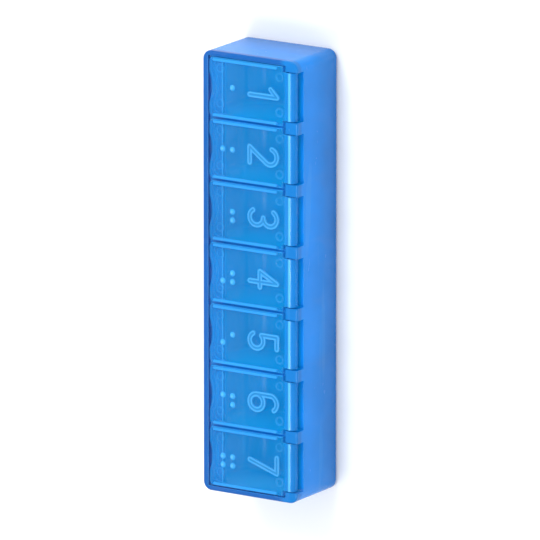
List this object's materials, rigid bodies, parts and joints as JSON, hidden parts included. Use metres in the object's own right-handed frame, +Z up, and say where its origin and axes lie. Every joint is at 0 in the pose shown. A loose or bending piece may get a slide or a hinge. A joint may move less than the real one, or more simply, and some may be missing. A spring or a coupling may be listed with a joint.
{
  "type": "weekly pill box",
  "caption": "Long see-through blue pill box with a row of compartments, each under its own hinged lid with a raised number and tactile dots, on a common hinge rod.",
  "frame": {"origin": "middle of the base, which lies on the table", "axes": "+X from the first compartment to the last, -Y is the thumb side, +Y the hinge side, +Z up out of the lids"},
  "size_m": [0.146, 0.036, 0.025],
  "materials": {
    "tray_plastic": "satin",
    "lid_plastic": "gloss",
    "rod_plastic": "satin"
  },
  "bodies": {
    "tray": {"tray": "tray_plastic", "hinge_rod": "rod_plastic"},
    "lid_1": {"lid_1": "lid_plastic"},
    "lid_2": {"lid_2": "lid_plastic"},
    "lid_3": {"lid_3": "lid_plastic"},
    "lid_4": {"lid_4": "lid_plastic"},
    "lid_5": {"lid_5": "lid_plastic"},
    "lid_6": {"lid_6": "lid_plastic"},
    "lid_7": {"lid_7": "lid_plastic"}
  },
  "joints": [
    {"name": "lid_1_hinge", "type": "hinge", "parent": "tray", "child": "lid_1", "pos_m": [-0.0612, 0.015, 0.02275], "axis": [-1, 0, 0], "range_deg": [0, 115]},
    {"name": "lid_2_hinge", "type": "hinge", "parent": "tray", "child": "lid_2", "pos_m": [-0.0408, 0.015, 0.02275], "axis": [-1, 0, 0], "range_deg": [0, 115]},
    {"name": "lid_3_hinge", "type": "hinge", "parent": "tray", "child": "lid_3", "pos_m": [-0.0204, 0.015, 0.02275], "axis": [-1, 0, 0], "range_deg": [0, 115]},
    {"name": "lid_4_hinge", "type": "hinge", "parent": "tray", "child": "lid_4", "pos_m": [0, 0.015, 0.02275], "axis": [-1, 0, 0], "range_deg": [0, 115]},
    {"name": "lid_5_hinge", "type": "hinge", "parent": "tray", "child": "lid_5", "pos_m": [0.0204, 0.015, 0.02275], "axis": [-1, 0, 0], "range_deg": [0, 115]},
    {"name": "lid_6_hinge", "type": "hinge", "parent": "tray", "child": "lid_6", "pos_m": [0.0408, 0.015, 0.02275], "axis": [-1, 0, 0], "range_deg": [0, 115]},
    {"name": "lid_7_hinge", "type": "hinge", "parent": "tray", "child": "lid_7", "pos_m": [0.0612, 0.015, 0.02275], "axis": [-1, 0, 0], "range_deg": [0, 115]}
  ]
}
